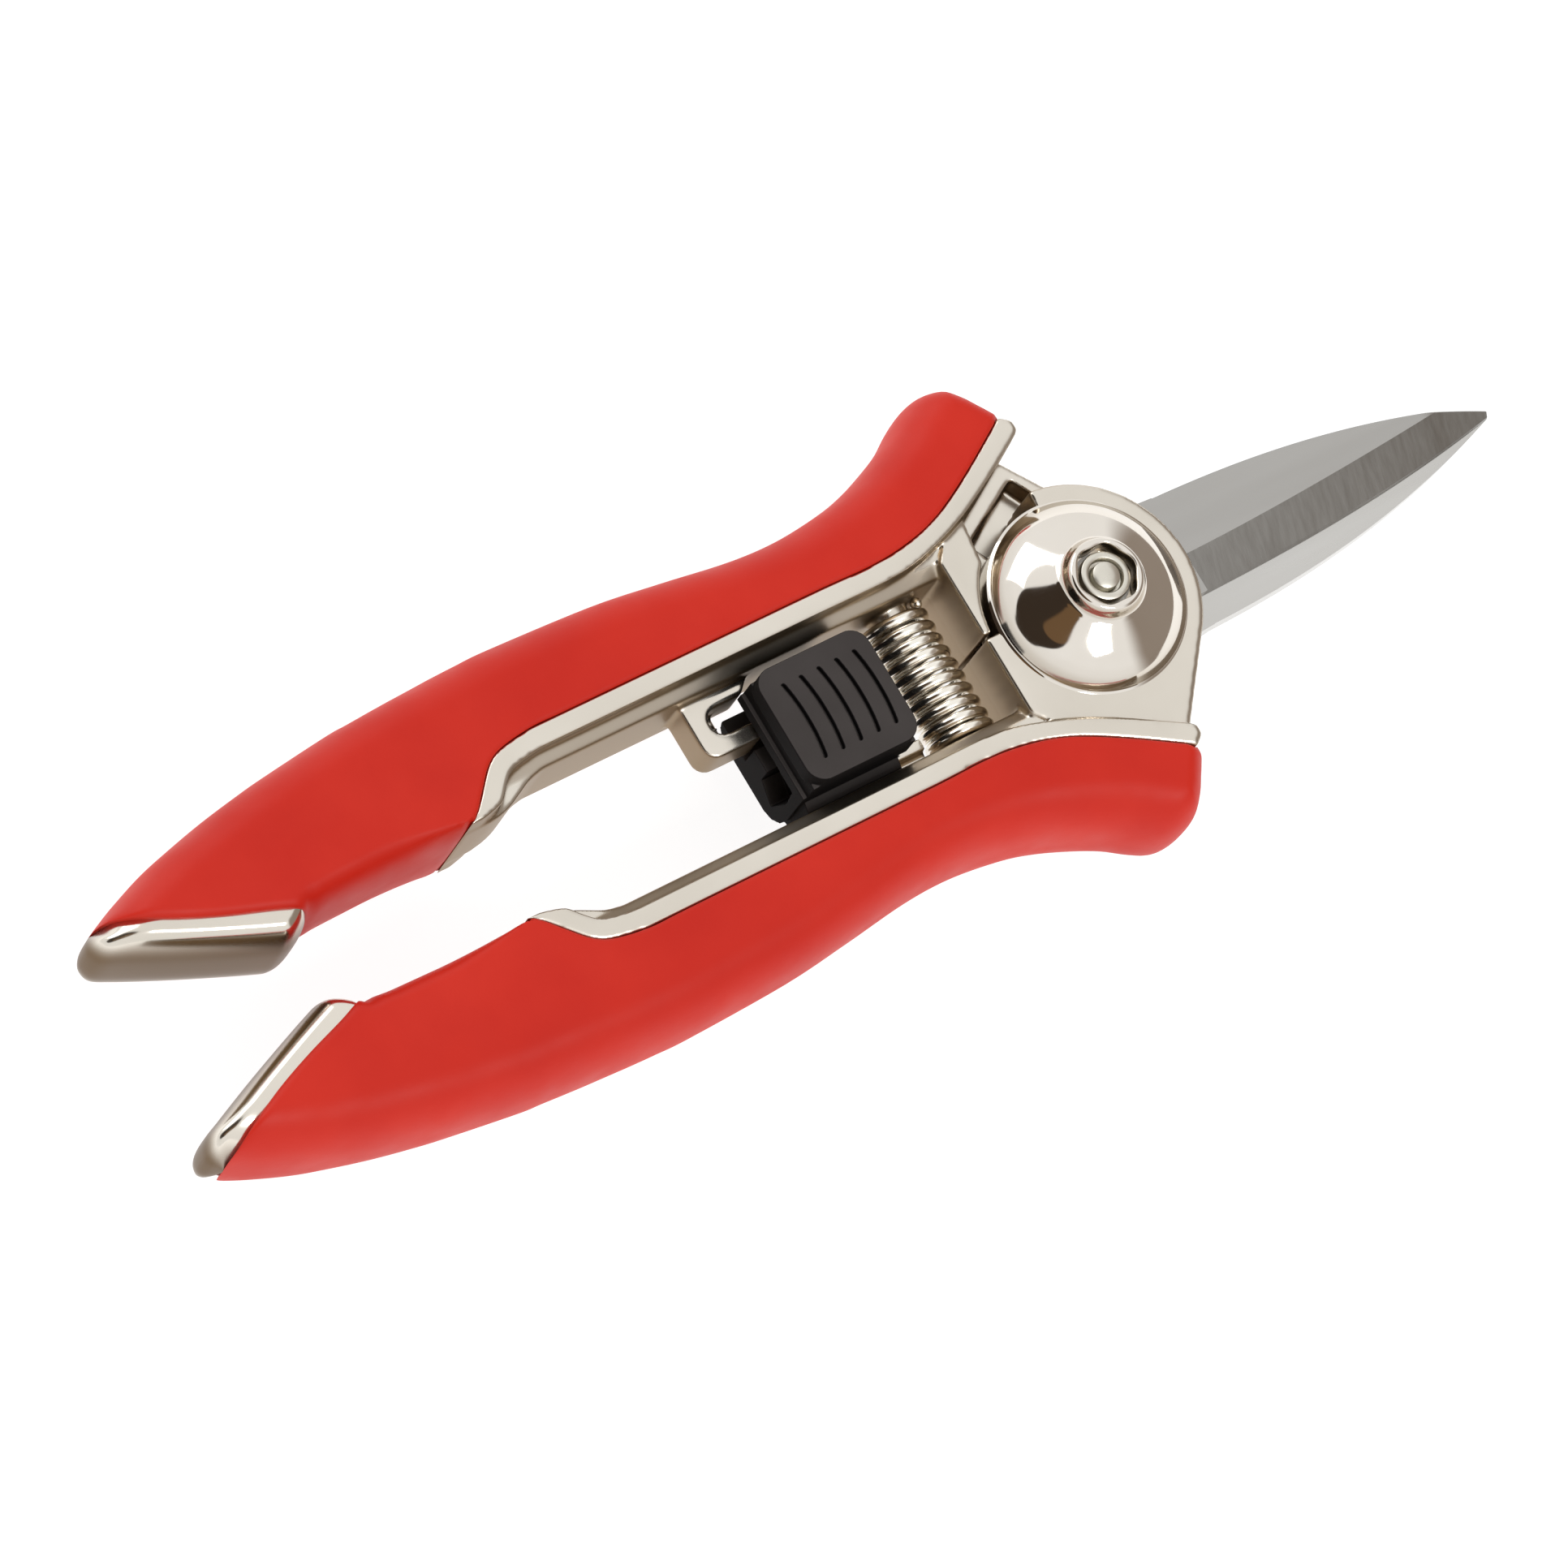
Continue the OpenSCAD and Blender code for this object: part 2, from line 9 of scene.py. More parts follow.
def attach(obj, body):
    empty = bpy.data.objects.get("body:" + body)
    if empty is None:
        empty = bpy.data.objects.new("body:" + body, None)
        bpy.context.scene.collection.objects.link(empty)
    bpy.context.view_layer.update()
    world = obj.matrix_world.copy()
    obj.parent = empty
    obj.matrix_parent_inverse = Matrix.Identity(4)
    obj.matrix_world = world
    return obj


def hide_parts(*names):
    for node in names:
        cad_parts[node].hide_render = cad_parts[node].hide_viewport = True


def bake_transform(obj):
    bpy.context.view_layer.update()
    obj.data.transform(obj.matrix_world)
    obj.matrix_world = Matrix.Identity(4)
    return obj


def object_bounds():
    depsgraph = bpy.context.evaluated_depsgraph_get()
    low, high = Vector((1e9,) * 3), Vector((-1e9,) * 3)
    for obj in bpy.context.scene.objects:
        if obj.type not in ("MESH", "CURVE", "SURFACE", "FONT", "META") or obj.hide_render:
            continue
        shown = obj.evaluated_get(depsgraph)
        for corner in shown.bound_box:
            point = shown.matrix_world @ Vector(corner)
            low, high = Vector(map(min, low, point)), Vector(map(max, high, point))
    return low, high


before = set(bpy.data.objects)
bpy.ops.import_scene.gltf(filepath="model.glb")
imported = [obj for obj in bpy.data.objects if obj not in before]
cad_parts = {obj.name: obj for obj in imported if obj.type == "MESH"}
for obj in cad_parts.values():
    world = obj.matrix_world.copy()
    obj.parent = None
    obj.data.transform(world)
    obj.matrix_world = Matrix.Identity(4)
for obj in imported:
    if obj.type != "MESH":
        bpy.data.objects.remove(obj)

cad_box = [list(corner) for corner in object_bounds()]
# The box that every made piece is held inside, a hair smaller than the CAD's, in metres
HAIR = 1e-7
BOX = np.array(cad_box) + [[HAIR] * 3, [-HAIR] * 3]

# Shapes are made in millimetres and end up in metres, in the CAD's frame. The pivot's axis is at
# x = 0, y = 0. The moving handle is the fixed one turned over about the line y = MID_Y, z = MID_Z.
MM = 0.001
MID_Y = 0.9
MID_Z = 12.55
# Half thicknesses above and below MID_Z: the CAD grip, the castings' head, the crowned grip and the cap
HALF_T = 7.25
PLATE_H = 6.25
GRIP_H = HALF_T + 0.3
CAP_H = 6.6
VOXEL = 0.2
FINE_VOXEL = 0.1
FIXED, MOVING, LOCK = "fixed_handle", "moving_handle", "lock"


# ---------------------------------------------------------------- camera

def set_camera():
    """The photograph's view, as fitted to the two mirror-image handles."""
    data = bpy.data.cameras.new("camera")
    data.lens = 189.05
    data.sensor_width = 36.0
    data.clip_end = 20.0
    camera = bpy.data.objects.new("camera", data)
    right = Vector((0.81345585, -0.5057246, 0.28728418))
    up = Vector((0.39800572, 0.84418063, 0.35909681))
    back = Vector((-0.42412383, -0.17776865, 0.88798496))
    place = Vector((-0.39225079, -0.15099318, 0.75482826))
    turn = Matrix((right, up, back)).transposed().to_4x4()
    camera.matrix_world = Matrix.Translation(place) @ turn
    bpy.context.scene.collection.objects.link(camera)
    bpy.context.scene.camera = camera


# ---------------------------------------------------------------- curves

def curve(points, steps):
    """Smooth curve through points of any dimension, with a number of steps between each two."""
    p = np.asarray(points, float)
    out = []
    for i in range(len(p) - 1):
        a, b, c, d = p[max(i - 1, 0)], p[i], p[i + 1], p[min(i + 2, len(p) - 1)]
        for k in range(steps):
            t = k / steps
            out.append(0.5 * (2 * b + (c - a) * t + (2 * a - 5 * b + 4 * c - d) * t * t
                              + (3 * b - a - 3 * c + d) * t ** 3))
    out.append(p[-1])
    return np.array(out)


def turned_over(v, line_y=MID_Y):
    """Half-turn about a line along X, which carries one handle onto the other."""
    v = np.array(v, float)
    v[:, 1] = 2 * line_y - v[:, 1]
    v[:, 2] = 2 * MID_Z - v[:, 2]
    return v


def between(line, x0, x1):
    """The points of a line whose x is between two values."""
    return line[(line[:, 0] > x0) & (line[:, 0] < x1)]


# ---------------------------------------------------------------- materials

# How much finer the noise is along X, Y and Z
EVEN, ACROSS, ALONG = (1, 1, 1), (0.25, 3.0, 1.0), (3.0, 0.25, 1.0)
# The gloss varies this much more finely than the tone
GLOSS_FINER = 3.1


def principled(name):
    """A new material, its nodes, its links and its shader."""
    mat = bpy.data.materials.new(name)
    mat.use_nodes = True
    nodes = mat.node_tree.nodes
    return mat, nodes, mat.node_tree.links, nodes["Principled BSDF"]


def noise(nodes, links, scale, detail, stretch):
    """Noise in the object's own space, whose scale is in features per metre."""
    coord = nodes.new("ShaderNodeTexCoord")
    mapping = nodes.new("ShaderNodeMapping")
    mapping.inputs["Scale"].default_value = stretch
    links.new(coord.outputs["Object"], mapping.inputs["Vector"])
    tex = nodes.new("ShaderNodeTexNoise")
    tex.inputs["Scale"].default_value = scale
    tex.inputs["Detail"].default_value = detail
    links.new(mapping.outputs["Vector"], tex.inputs["Vector"])
    return tex.outputs["Fac"]


def ramp(nodes, links, fac, low, high):
    """Blend between two colours over the middle of a noise's range."""
    node = nodes.new("ShaderNodeValToRGB")
    node.color_ramp.elements[0].position = 0.3
    node.color_ramp.elements[1].position = 0.7
    node.color_ramp.elements[0].color = low
    node.color_ramp.elements[1].color = high
    links.new(fac, node.inputs["Fac"])
    return node.outputs["Color"]


def grey(level):
    return (level, level, level, 1.0)


def mapped(nodes, links, value, start, end):
    """Smooth 0 to 1 as a value goes from start to end."""
    span = nodes.new("ShaderNodeMapRange")
    span.interpolation_type = "SMOOTHSTEP"
    span.inputs["From Min"].default_value = start
    span.inputs["From Max"].default_value = end
    links.new(value, span.inputs["Value"])
    return span.outputs["Result"]


def mixed(nodes, links, fac, low, high):
    """Colour low, given as a value, turning into the colour of the socket high."""
    mix = nodes.new("ShaderNodeMix")
    mix.data_type = "RGBA"
    links.new(fac, mix.inputs["Factor"])
    mix.inputs["A"].default_value = low
    links.new(high, mix.inputs["B"])
    return mix.outputs["Result"]


def surface(name, low, high, rough, metallic, tone_scale, grain_scale, grain_depth,
            stretch=EVEN, side=None):
    """A surface with drifting tone, uneven gloss and a fine grain, and maybe a painted shade on its
    upright faces.
    """
    mat, nodes, links, shader = principled(name)
    tone = noise(nodes, links, tone_scale, 4.0, stretch)
    colour = ramp(nodes, links, tone, (*low, 1), (*high, 1))
    uneven = noise(nodes, links, tone_scale * GLOSS_FINER, 5.0, stretch)
    gloss = ramp(nodes, links, uneven, grey(rough[0]), grey(rough[1]))
    # Painted shade: upright faces are blended towards a darker tint, which stands in for the shade on them
    # and the brown surroundings they mirror, and they get their own roughness
    if side:
        geometry = nodes.new("ShaderNodeNewGeometry")
        parts = nodes.new("ShaderNodeSeparateXYZ")
        links.new(geometry.outputs["Normal"], parts.inputs["Vector"])
        height = nodes.new("ShaderNodeMath")
        height.operation = "ABSOLUTE"
        links.new(parts.outputs["Z"], height.inputs[0])
        painted_shade_colour, side_rough, upright, level_from = side
        level = mapped(nodes, links, height.outputs["Value"], upright, level_from)
        colour = mixed(nodes, links, level, (*painted_shade_colour, 1), colour)
        gloss = mixed(nodes, links, level, grey(side_rough), gloss)
    links.new(colour, shader.inputs["Base Color"])
    links.new(gloss, shader.inputs["Roughness"])
    shader.inputs["Metallic"].default_value = metallic
    grain = noise(nodes, links, grain_scale, 2.0, stretch)
    bump = nodes.new("ShaderNodeBump")
    bump.inputs["Strength"].default_value = 1.0
    bump.inputs["Distance"].default_value = grain_depth * MM
    links.new(grain, bump.inputs["Height"])
    links.new(bump.outputs["Normal"], shader.inputs["Normal"])
    return mat


# name: low and high tone, range of roughness, metallic, tone scale, grain scale, grain depth in mm,
# stretch; and for upright faces a painted shade colour and their roughness, and the sizes of the
# normal's Z below which a face counts as upright and above which as level
FINISHES = {
    # The castings' upright walls and sloped ledges get a brown tint, a painted reflection of brown
    # surroundings and painted shade
    "plate": ((0.69, 0.64, 0.56), (0.76, 0.71, 0.63), (0.15, 0.24), 1.0, 60, 500, 0.002, EVEN,
              ((0.34, 0.255, 0.165), 0.42, 0.5, 0.97)),
    # The metal end's upright sole gets a dark brown tint, a painted reflection and painted shade
    "cap": ((0.70, 0.65, 0.57), (0.76, 0.71, 0.63), (0.14, 0.20), 1.0, 60, 500, 0.001, EVEN,
            ((0.14, 0.085, 0.04), 0.36, 0.05, 0.6)),
    # The dome's steep faces get a darker tint, a painted shade standing in for the darker surroundings
    # they mirror
    "mirror": ((0.76, 0.71, 0.64), (0.80, 0.755, 0.69), (0.04, 0.08), 1.0, 120, 400, 0.001, EVEN,
               ((0.50, 0.44, 0.36), 0.14, 0.40, 0.78)),
    "grip": ((0.53, 0.013, 0.004), (0.60, 0.021, 0.008), (0.46, 0.58), 0.0, 70, 3200, 0.010),
    "blade": ((0.43, 0.42, 0.40), (0.47, 0.46, 0.44), (0.26, 0.36), 1.0, 40, 1500, 0.003, ACROSS),
    # The moving handle's blade, the lower one, has a lighter copy of the blade steel: painted light
    # standing in for the light it catches
    "lit_blade": ((0.58, 0.57, 0.545), (0.64, 0.63, 0.605), (0.24, 0.34), 1.0, 40, 1500, 0.003, ACROSS),
    "bevel": ((0.31, 0.305, 0.29), (0.34, 0.335, 0.32), (0.28, 0.36), 1.0, 220, 2400, 0.003, ALONG),
    "spring": ((0.86, 0.81, 0.72), (0.93, 0.89, 0.81), (0.14, 0.22), 1.0, 300, 2500, 0.002),
    # The slider's upright sides get a near-black tint, a painted shade
    "plastic": ((0.042, 0.036, 0.034), (0.052, 0.045, 0.043), (0.52, 0.64), 0.0, 120, 4200, 0.008, EVEN,
                ((0.005, 0.004, 0.004), 0.75, 0.5, 0.95)),
    "bolt": ((0.68, 0.65, 0.57), (0.76, 0.73, 0.65), (0.26, 0.36), 1.0, 400, 2600, 0.004),
    "plain": ((0.36, 0.35, 0.33), (0.46, 0.45, 0.43), (0.30, 0.45), 1.0, 400, 2500, 0.006),
    "bronze": ((0.42, 0.26, 0.12), (0.55, 0.36, 0.18), (0.28, 0.42), 1.0, 400, 2500, 0.006)}


# The two plastics that mirror less than the shader does by itself
SPECULAR = {"grip": 0.25, "plastic": 0.15}


def make_materials():
    made = {name: surface(name + "_finish", *spec) for name, spec in FINISHES.items()}
    for name, level in SPECULAR.items():
        made[name].node_tree.nodes["Principled BSDF"].inputs["Specular IOR Level"].default_value = level
    return made


# ---------------------------------------------------------------- meshes

def add_piece(name, verts, faces, body, mats, replaces=(), sharp=None, face_mats=None):
    """A finished mesh in millimetres becomes a piece that rides on a body."""
    mesh = bpy.data.meshes.new(name)
    inside = np.clip(np.asarray(verts, float) * MM, *BOX)
    mesh.from_pydata([tuple(v) for v in inside], [], [tuple(f) for f in faces])
    if face_mats is not None:
        mesh.polygons.foreach_set("material_index", face_mats)
    return finish_piece(name, mesh, body, mats, replaces, sharp)


def finish_piece(name, mesh, body, mats, replaces=(), sharp=None):
    """A mesh becomes a smooth-shaded piece, with creases where it bends by more than sharp degrees."""
    mesh.validate()
    for mat in mats:
        mesh.materials.append(mat)
    mesh.polygons.foreach_set("use_smooth", [True] * len(mesh.polygons))
    if sharp:
        mesh.set_sharp_from_angle(angle=math.radians(sharp))
    obj = bpy.data.objects.new(name, mesh)
    bpy.context.scene.collection.objects.link(obj)
    if body:
        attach(obj, body)
    if replaces:
        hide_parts(*replaces)
    return obj


def points_of(mesh):
    return np.array([v.co for v in mesh.vertices], float).reshape(-1, 3)


def faces_of(mesh):
    return [list(p.vertices) for p in mesh.polygons]


def prism(outline, z0, z1):
    """Closed prism over a plan outline."""
    outline = [tuple(p) for p in outline]
    n = len(outline)
    verts = [(x, y, z0) for x, y in outline] + [(x, y, z1) for x, y in outline]
    faces = [[i, (i + 1) % n, n + (i + 1) % n, n + i] for i in range(n)]
    faces += [list(range(n))[::-1], list(range(n, 2 * n))]
    pairs = zip(outline, outline[1:] + outline[:1])
    area = sum(ax * by - bx * ay for (ax, ay), (bx, by) in pairs)
    if area < 0:
        faces = [f[::-1] for f in faces]
    return verts, faces


def disc(x, y, r, n):
    """Outline of a round disc, with n points."""
    angles = [2 * math.pi * i / n for i in range(n)]
    return [(x + r * math.cos(a), y + r * math.sin(a)) for a in angles]


def oblong(x0, x1, y0, y1):
    """Outline of a rectangle."""
    return [(x0, y0), (x1, y0), (x1, y1), (x0, y1)]


def scratch(verts, faces, name="scratch"):
    """A passing object to cut or to cut with."""
    mesh = bpy.data.meshes.new(name)
    mesh.from_pydata([tuple(v) for v in verts], [], [tuple(f) for f in faces])
    obj = bpy.data.objects.new(name, mesh)
    bpy.context.scene.collection.objects.link(obj)
    return obj


def evaluated(obj):
    """The object's mesh with its modifiers applied; the object itself goes."""
    graph = bpy.context.evaluated_depsgraph_get()
    mesh = bpy.data.meshes.new_from_object(obj.evaluated_get(graph))
    bpy.data.objects.remove(obj)
    return mesh


def cut(obj, cutters, operation="DIFFERENCE"):
    """Boolean each cutter out of, or into, a scratch object."""
    for verts, faces in cutters:
        tool = scratch(verts, faces, "tool")
        mod = obj.modifiers.new("cut", "BOOLEAN")
        mod.solver = "EXACT"
        mod.operation = operation
        mod.object = tool
        mesh = evaluated(obj)
        obj = bpy.data.objects.new("scratch", mesh)
        bpy.context.scene.collection.objects.link(obj)
        bpy.data.objects.remove(tool)
    return obj


def softened(obj, voxel, rounds):
    """Re-skins a solid with even faces and rounds its edges, as a casting's or a moulding's are."""
    mod = obj.modifiers.new("skin", "REMESH")
    mod.mode = "VOXEL"
    mod.voxel_size = voxel
    mod.adaptivity = 0.0
    soft = obj.modifiers.new("soft", "SMOOTH")
    soft.factor = 0.5
    soft.iterations = rounds
    return evaluated(obj)


def lathe(profile, segments, y=0.0, wobble=None):
    """Closed ring of revolution about a vertical axis through (0, y), with heights from MID_Z."""
    profile = [np.array(p, float) for p in profile]
    n = len(profile)
    verts, faces = [], []
    for k in range(segments):
        a = 2 * math.pi * k / segments
        for i, (r, z) in enumerate(profile):
            r = r + (wobble(i, a) if wobble else 0)
            verts.append((r * math.cos(a), y + r * math.sin(a), MID_Z + z))
    for k in range(segments):
        b, c = k * n, ((k + 1) % segments) * n
        for i in range(n):
            j = (i + 1) % n
            faces.append([b + i, c + i, c + j, b + j])
    return verts, faces


def tube_faces(rings, sides):
    """Faces of a tube of equal rings of points, with both ends closed."""
    faces = []
    for i in range(rings - 1):
        for k in range(sides):
            j = (k + 1) % sides
            faces.append([i * sides + k, i * sides + j, (i + 1) * sides + j, (i + 1) * sides + k])
    faces.append(list(range(sides))[::-1])
    faces.append(list(range((rings - 1) * sides, rings * sides)))
    return faces


# ---------------------------------------------------------------- soft grips and metal ends

# Points are (x, distance from MID_Y), and x falls from the pivot towards the metal end.

# Side of the metal end that faces the other handle
SOLE = [(-91.3, 5.0), (-93.2, 3.6), (-94.9, 3.1), (-97, 3.7), (-104, 6.5), (-109.5, 8.9),
        (-112, 10.1), (-112.8, 11.5), (-112.5, 12.6), (-111.3, 13.4)]
# Inside end of each rib of the metal end, which lies under the grip
SOLE_ROOT = [(-90.6, 5.9), (-92.4, 6.6), (-94.6, 7.4), (-96.6, 8.2), (-103.2, 10.6), (-107.2, 12.4),
             (-108.8, 13.1), (-109.6, 13.4), (-110.0, 13.5), (-110.4, 13.6)]
# Outer side of the grip and, opposite each point, its inner edge
BACK = [(2.9, 20.0), (2.8, 21.1), (2.2, 22.1), (1.5, 23.1), (0.4, 24.6), (-1.2, 26.1), (-3.1, 26.6),
        (-4.8, 26.35), (-6.6, 25.45), (-9, 23.9), (-12, 22.5), (-16, 21.0), (-20, 20.05),
        (-26, 19.4), (-32, 19.6), (-40, 20.65), (-48, 21.55), (-60, 22.05), (-64, 22.0),
        (-67, 21.9), (-68.6, 21.82), (-70.3, 21.73), (-72.4, 21.62), (-74.6, 21.48), (-77.4, 21.28),
        (-80, 21.1), (-88, 20.05), (-91.5, 19.48), (-96, 18.6), (-100, 17.62), (-104, 16.5),
        (-108, 14.95), (-110.2, 13.95), (-111.3, 13.4)]
EDGE = [(1.5, 20.1), (0.95, 19.78), (0.3, 19.4), (-0.6, 18.87), (-2.1, 17.97), (-3.9, 16.9),
        (-5.5, 16.0), (-7.2, 15.08), (-8.8, 14.27), (-10.8, 13.38), (-13.4, 12.56), (-17, 11.92),
        (-20.6, 11.7), (-26, 11.8), (-32, 11.8), (-40, 11.8), (-48, 11.8), (-58, 11.8), (-62, 11.8),
        (-65.9, 11.2), (-68, 10.15), (-70, 8.1), (-71.65, 6.35), (-73.0, 5.5), (-75.6, 5.38),
        (-80, 5.3), (-88, 5.1), (-91.3, 5.0), (-95.4, 6.45), (-100, 8.0), (-104.4, 9.75),
        (-108.2, 11.65), (-110.3, 12.85), (-111.3, 13.35)]
# Just past where the grip's inner edge meets the metal end, and the steps between the grip's points
GRIP_END = -91.5
GRIP_STEPS = 6
# Power of a full, slightly boxy edge
FULL = 0.4


def far(points, line, widths):
    """Distance of each point to a line of segments, divided by one width or by each segment's own."""
    tiny = 1e-9
    a, b = line[:-1], line[1:]
    d = b - a
    rel = points[:, None, :] - a[None]
    t = np.clip((rel * d[None]).sum(2) / np.maximum((d * d).sum(1), tiny)[None], 0, 1)
    gap = np.linalg.norm(rel - t[..., None] * d[None], axis=2)
    return (gap / widths).min(1)


def rounded(x, power):
    """Rise from 0 to 1 of a rounded edge, boxier with a smaller power; 0.5 is a quarter of a circle."""
    x = np.clip(x, 0, 1)
    return (1 - (1 - x) ** 2) ** power


def cushion(inner, outer, height_of, ribs):
    """Closed skin over ribs from an inner to an outer line, the same above and below the mid plane."""
    s = (1 - np.cos(np.linspace(0, math.pi, ribs))) / 2
    n = len(inner)
    plan = inner[:, None, :] * (1 - s)[None, :, None] + outer[:, None, :] * s[None, :, None]
    z = height_of(plan.reshape(-1, 2)).reshape(n, ribs)
    z[:, -1] = 0
    top = np.concatenate([plan, z[..., None]], 2)
    low = top[:, ::-1].copy()
    low[..., 2] *= -1
    ring = np.concatenate([top, low[:, 1:]], 1)
    m = ring.shape[1]
    verts = ring.reshape(-1, 3).copy()
    verts[:, 1] = MID_Y - verts[:, 1]
    verts[:, 2] += MID_Z
    faces = []
    for i in range(n - 1):
        for k in range(m):
            j = (k + 1) % m
            faces.append([i * m + k, (i + 1) * m + k, (i + 1) * m + j, i * m + j])
    faces.append(list(range(m)))
    faces.append(list(range((n - 1) * m, n * m))[::-1])
    return verts, faces


def clean_mesh(verts, faces):
    """Merges points that meet, leaves out a face given twice, and makes every face look outwards."""
    merge = 0.004
    bm = bmesh.new()
    made = [bm.verts.new(tuple(v)) for v in verts]
    for f in faces:
        try:
            bm.faces.new([made[i] for i in f])
        except ValueError:
            pass
    bmesh.ops.remove_doubles(bm, verts=bm.verts, dist=merge)
    bmesh.ops.dissolve_degenerate(bm, edges=bm.edges, dist=merge)
    bmesh.ops.recalc_face_normals(bm, faces=bm.faces)
    bm.verts.index_update()
    out = [tuple(v.co) for v in bm.verts], [[v.index for v in f.verts] for f in bm.faces]
    bm.free()
    return out


def grip_skin():
    """Soft grip, rounded over its back and round the handle's end, and tucked in at rim and seam."""
    pair = curve(np.hstack([EDGE, BACK]), GRIP_STEPS)
    inner, outer = pair[:, :2], pair[:, 2:]
    back_w = np.interp(outer[:-1, 0], [-112, -104, -6, -1], [3.6, 4.5, 4.5, 3.0])
    wrap = between(inner, GRIP_END, -72.5)
    wrap_w = np.interp(wrap[:-1, 0], [-82, -73], [2.3, 0.4])
    rim = inner[inner[:, 0] >= -72.9]
    rim_w, rim_dip = 0.5, 0.055
    seam = inner[inner[:, 0] <= -91.2]
    seam_w, seam_dip = 0.9, 0.09

    def height(p):
        z = GRIP_H * rounded(far(p, outer, back_w), FULL) * rounded(far(p, wrap, wrap_w), FULL)
        z *= 1 - rim_dip * (1 - rounded(far(p, rim, rim_w), 0.5))
        z *= 1 - seam_dip * (1 - rounded(far(p, seam, seam_w), 0.5))
        return z

    return clean_mesh(*cushion(inner, outer, height, ribs=40))


def toe_skin():
    """Metal end of a handle, which falls away where the grip's back and wrap do."""
    pair = curve(np.hstack([SOLE_ROOT, SOLE]), 16)
    inner, outer = pair[:, :2], pair[:, 2:]
    back = curve(BACK, GRIP_STEPS)
    back = back[back[:, 0] < -96]
    wrap = between(curve(EDGE, GRIP_STEPS), GRIP_END, -86)
    sole_w, back_w, wrap_w = 2.1, 5.0, 1.6
    boxy = 0.34

    def height(p):
        z = CAP_H * rounded(far(p, outer, sole_w), boxy)
        return z * rounded(far(p, back, back_w), FULL) * rounded(far(p, wrap, wrap_w), FULL)

    return clean_mesh(*cushion(inner, outer, height, ribs=44))


# ---------------------------------------------------------------- castings

def casting_skin(node, flip):
    """The CAD casting without its dome top and its metal end, re-skinned with cast fillets."""
    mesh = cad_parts[node].data
    verts = points_of(mesh) / MM
    pivot_y = 2 * MID_Y if flip else 0.0
    if flip:
        verts = turned_over(verts)
    obj = scratch(*clean_mesh(verts, faces_of(mesh)))
    # The casting is cut off a little forward of this seam, and the metal end's own skin goes on from there
    forward = (0.4, 0)
    seam = [(-111.3, 13.4), (-109, 12.1), (-105, 10), (-100, 8), (-95, 6.3), (-91.3, 5.0)]
    seam = curve(seam, 3) + forward
    region = [(-119, 18)] + [tuple(p) for p in seam] + [(-90.9, -3), (-119, -3)]
    region = [(x, MID_Y - u) for x, u in region]
    dome_r, dome_seat = 10.9, MID_Z + PLATE_H + 0.03
    dome_top = prism(disc(0, pivot_y, dome_r, 96), dome_seat, MID_Z + 20)
    obj = cut(obj, [dome_top, prism(region, MID_Z - 12, MID_Z + 12)])
    mesh = softened(obj, VOXEL, rounds=16)
    verts = points_of(mesh)
    if flip:
        verts = turned_over(verts)
    mesh.vertices.foreach_set("co", (verts * MM).ravel())
    mesh.materials.clear()
    return mesh


def dome_profile(bore):
    """Section of the pivot dome, from the flange up to the collar and down its recess."""
    top = MID_Z
    shoulder = [(10.5, PLATE_H + 0.35), (9.6, PLATE_H + 1.6), (8.0, PLATE_H + 3.0), (5.1, top - 1.8)]
    points = [(bore, 0.6), (10.4, 0.6), (10.95, PLATE_H - 0.06), (10.72, PLATE_H + 0.06)]
    points += [(10.58, PLATE_H + 0.17)]
    points += [tuple(p) for p in curve(shoulder, 8)]
    points += [(4.8, top - 1.66), (4.56, top - 1.45), (4.4, top - 1.15), (4.26, top - 0.75)]
    points += [(4.12, top - 0.4), (3.98, top - 0.15), (3.82, top - 0.03), (3.68, top), (3.42, top)]
    points += [(3.32, top - 0.06), (3.27, top - 0.2), (3.24, top - 2.3), (bore, top - 2.3)]
    return points


def dome_skin(bore, pivot_y):
    """Pivot dome, whose collar has a six-lobed hole."""
    profile = dome_profile(bore)
    last_inside = len(profile) - 2
    inside = range(last_inside - 3, last_inside + 1)
    lobes, lobe_h = 6, 0.13

    def wobble(i, a):
        return lobe_h * math.cos(lobes * a) * (1 if i in inside else 0)

    return clean_mesh(*lathe(profile, 144, pivot_y, wobble))


# ---------------------------------------------------------------- blades

BLADE_ROOT = 14


def blade_ring(t):
    """Cross-section of the upper blade, from the root at t = 0 to the tip at t = 1."""
    tip = 55.4
    half_w, thick, edge, gap = 7.2, 2.5, 0.22, 0.02
    corner = 0.12
    x = BLADE_ROOT + t * (tip - BLADE_ROOT)
    spine = half_w * (1 - 0.12 * t - 0.83 * t ** 2.3)
    line = min(0.3 + 2.6 * t ** 1.6, spine - corner)
    cutting = -4 + 0.9 * t + 2.75 * t ** 2.6
    top = thick * min(1, 0.32 + 4 * (1 - t))
    hone = 0.35 * (1 - 0.7 * t)
    section = [(cutting, 0), (cutting, 0.08), (cutting + hone, edge + 0.1), (line, top),
               (spine - corner, top), (spine, top - corner), (spine, 0)]
    return [(x, y, MID_Z + (gap + z)) for y, z in section]


